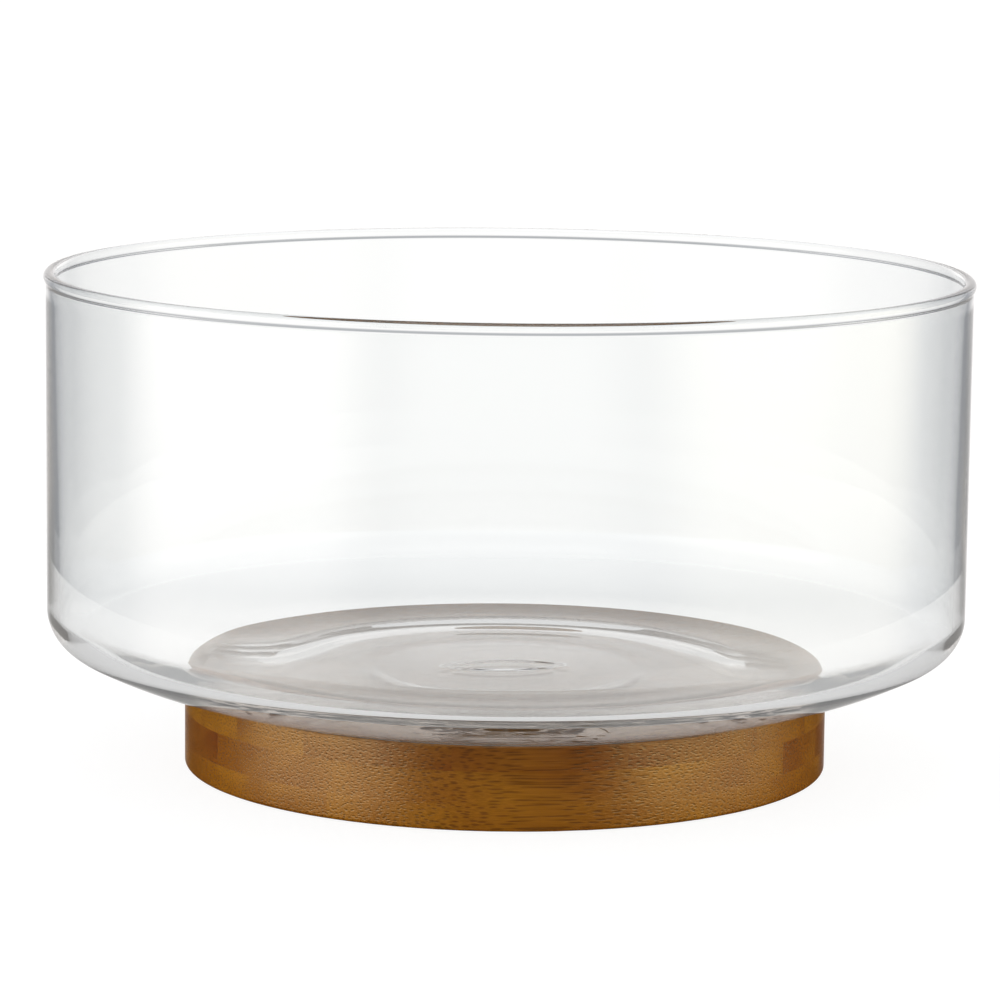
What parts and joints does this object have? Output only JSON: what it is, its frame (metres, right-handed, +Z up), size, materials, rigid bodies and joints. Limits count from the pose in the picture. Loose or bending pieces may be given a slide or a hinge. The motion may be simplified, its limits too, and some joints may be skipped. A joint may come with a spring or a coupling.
{
  "type": "glass fruit bowl",
  "caption": "Clear straight-walled glass bowl with a beaded rim, standing in a shallow dish on a low round base of laminated bamboo; holds fruit and lifts off for washing.",
  "frame": {"origin": "on the bowl's axis, at the surface that the base stands on", "axes": "+Z up along the bowl's axis; +X along the grain of the bamboo strips; the picture's side faces -Y"},
  "size_m": [0.25, 0.25, 0.1344],
  "materials": {
    "clear_glass": "clear soda-lime glass, blown and fire-polished",
    "bamboo_top": "laminated bamboo, sanded and clear lacquered, darker ply",
    "bamboo_middle": "laminated bamboo, sanded and clear lacquered",
    "bamboo_bottom": "laminated bamboo, sanded and clear lacquered"
  },
  "bodies": {
    "base": {"bottom_strip_01": "bamboo_bottom", "bottom_strip_02": "bamboo_bottom", "bottom_strip_03": "bamboo_bottom", "bottom_strip_04": "bamboo_bottom", "bottom_strip_05": "bamboo_bottom", "bottom_strip_06": "bamboo_bottom", "bottom_strip_07": "bamboo_bottom", "bottom_strip_08": "bamboo_bottom", "bottom_strip_09": "bamboo_bottom", "middle_strip_01": "bamboo_middle", "middle_strip_02": "bamboo_middle", "middle_strip_03": "bamboo_middle", "middle_strip_04": "bamboo_middle", "middle_strip_05": "bamboo_middle", "middle_strip_06": "bamboo_middle", "middle_strip_07": "bamboo_middle", "middle_strip_08": "bamboo_middle", "middle_strip_09": "bamboo_middle", "top_strip_01": "bamboo_top", "top_strip_02": "bamboo_top", "top_strip_03": "bamboo_top", "top_strip_04": "bamboo_top", "top_strip_05": "bamboo_top", "top_strip_06": "bamboo_top", "top_strip_07": "bamboo_top", "top_strip_08": "bamboo_top", "top_strip_09": "bamboo_top", "top_strip_10": "bamboo_top"},
    "bowl": {"glass_bowl": "clear_glass"}
  },
  "joints": [
    {"name": "bowl_lift", "type": "slide", "parent": "base", "child": "bowl", "axis": [0, 0, 1], "range_m": [0, 0.06]}
  ]
}
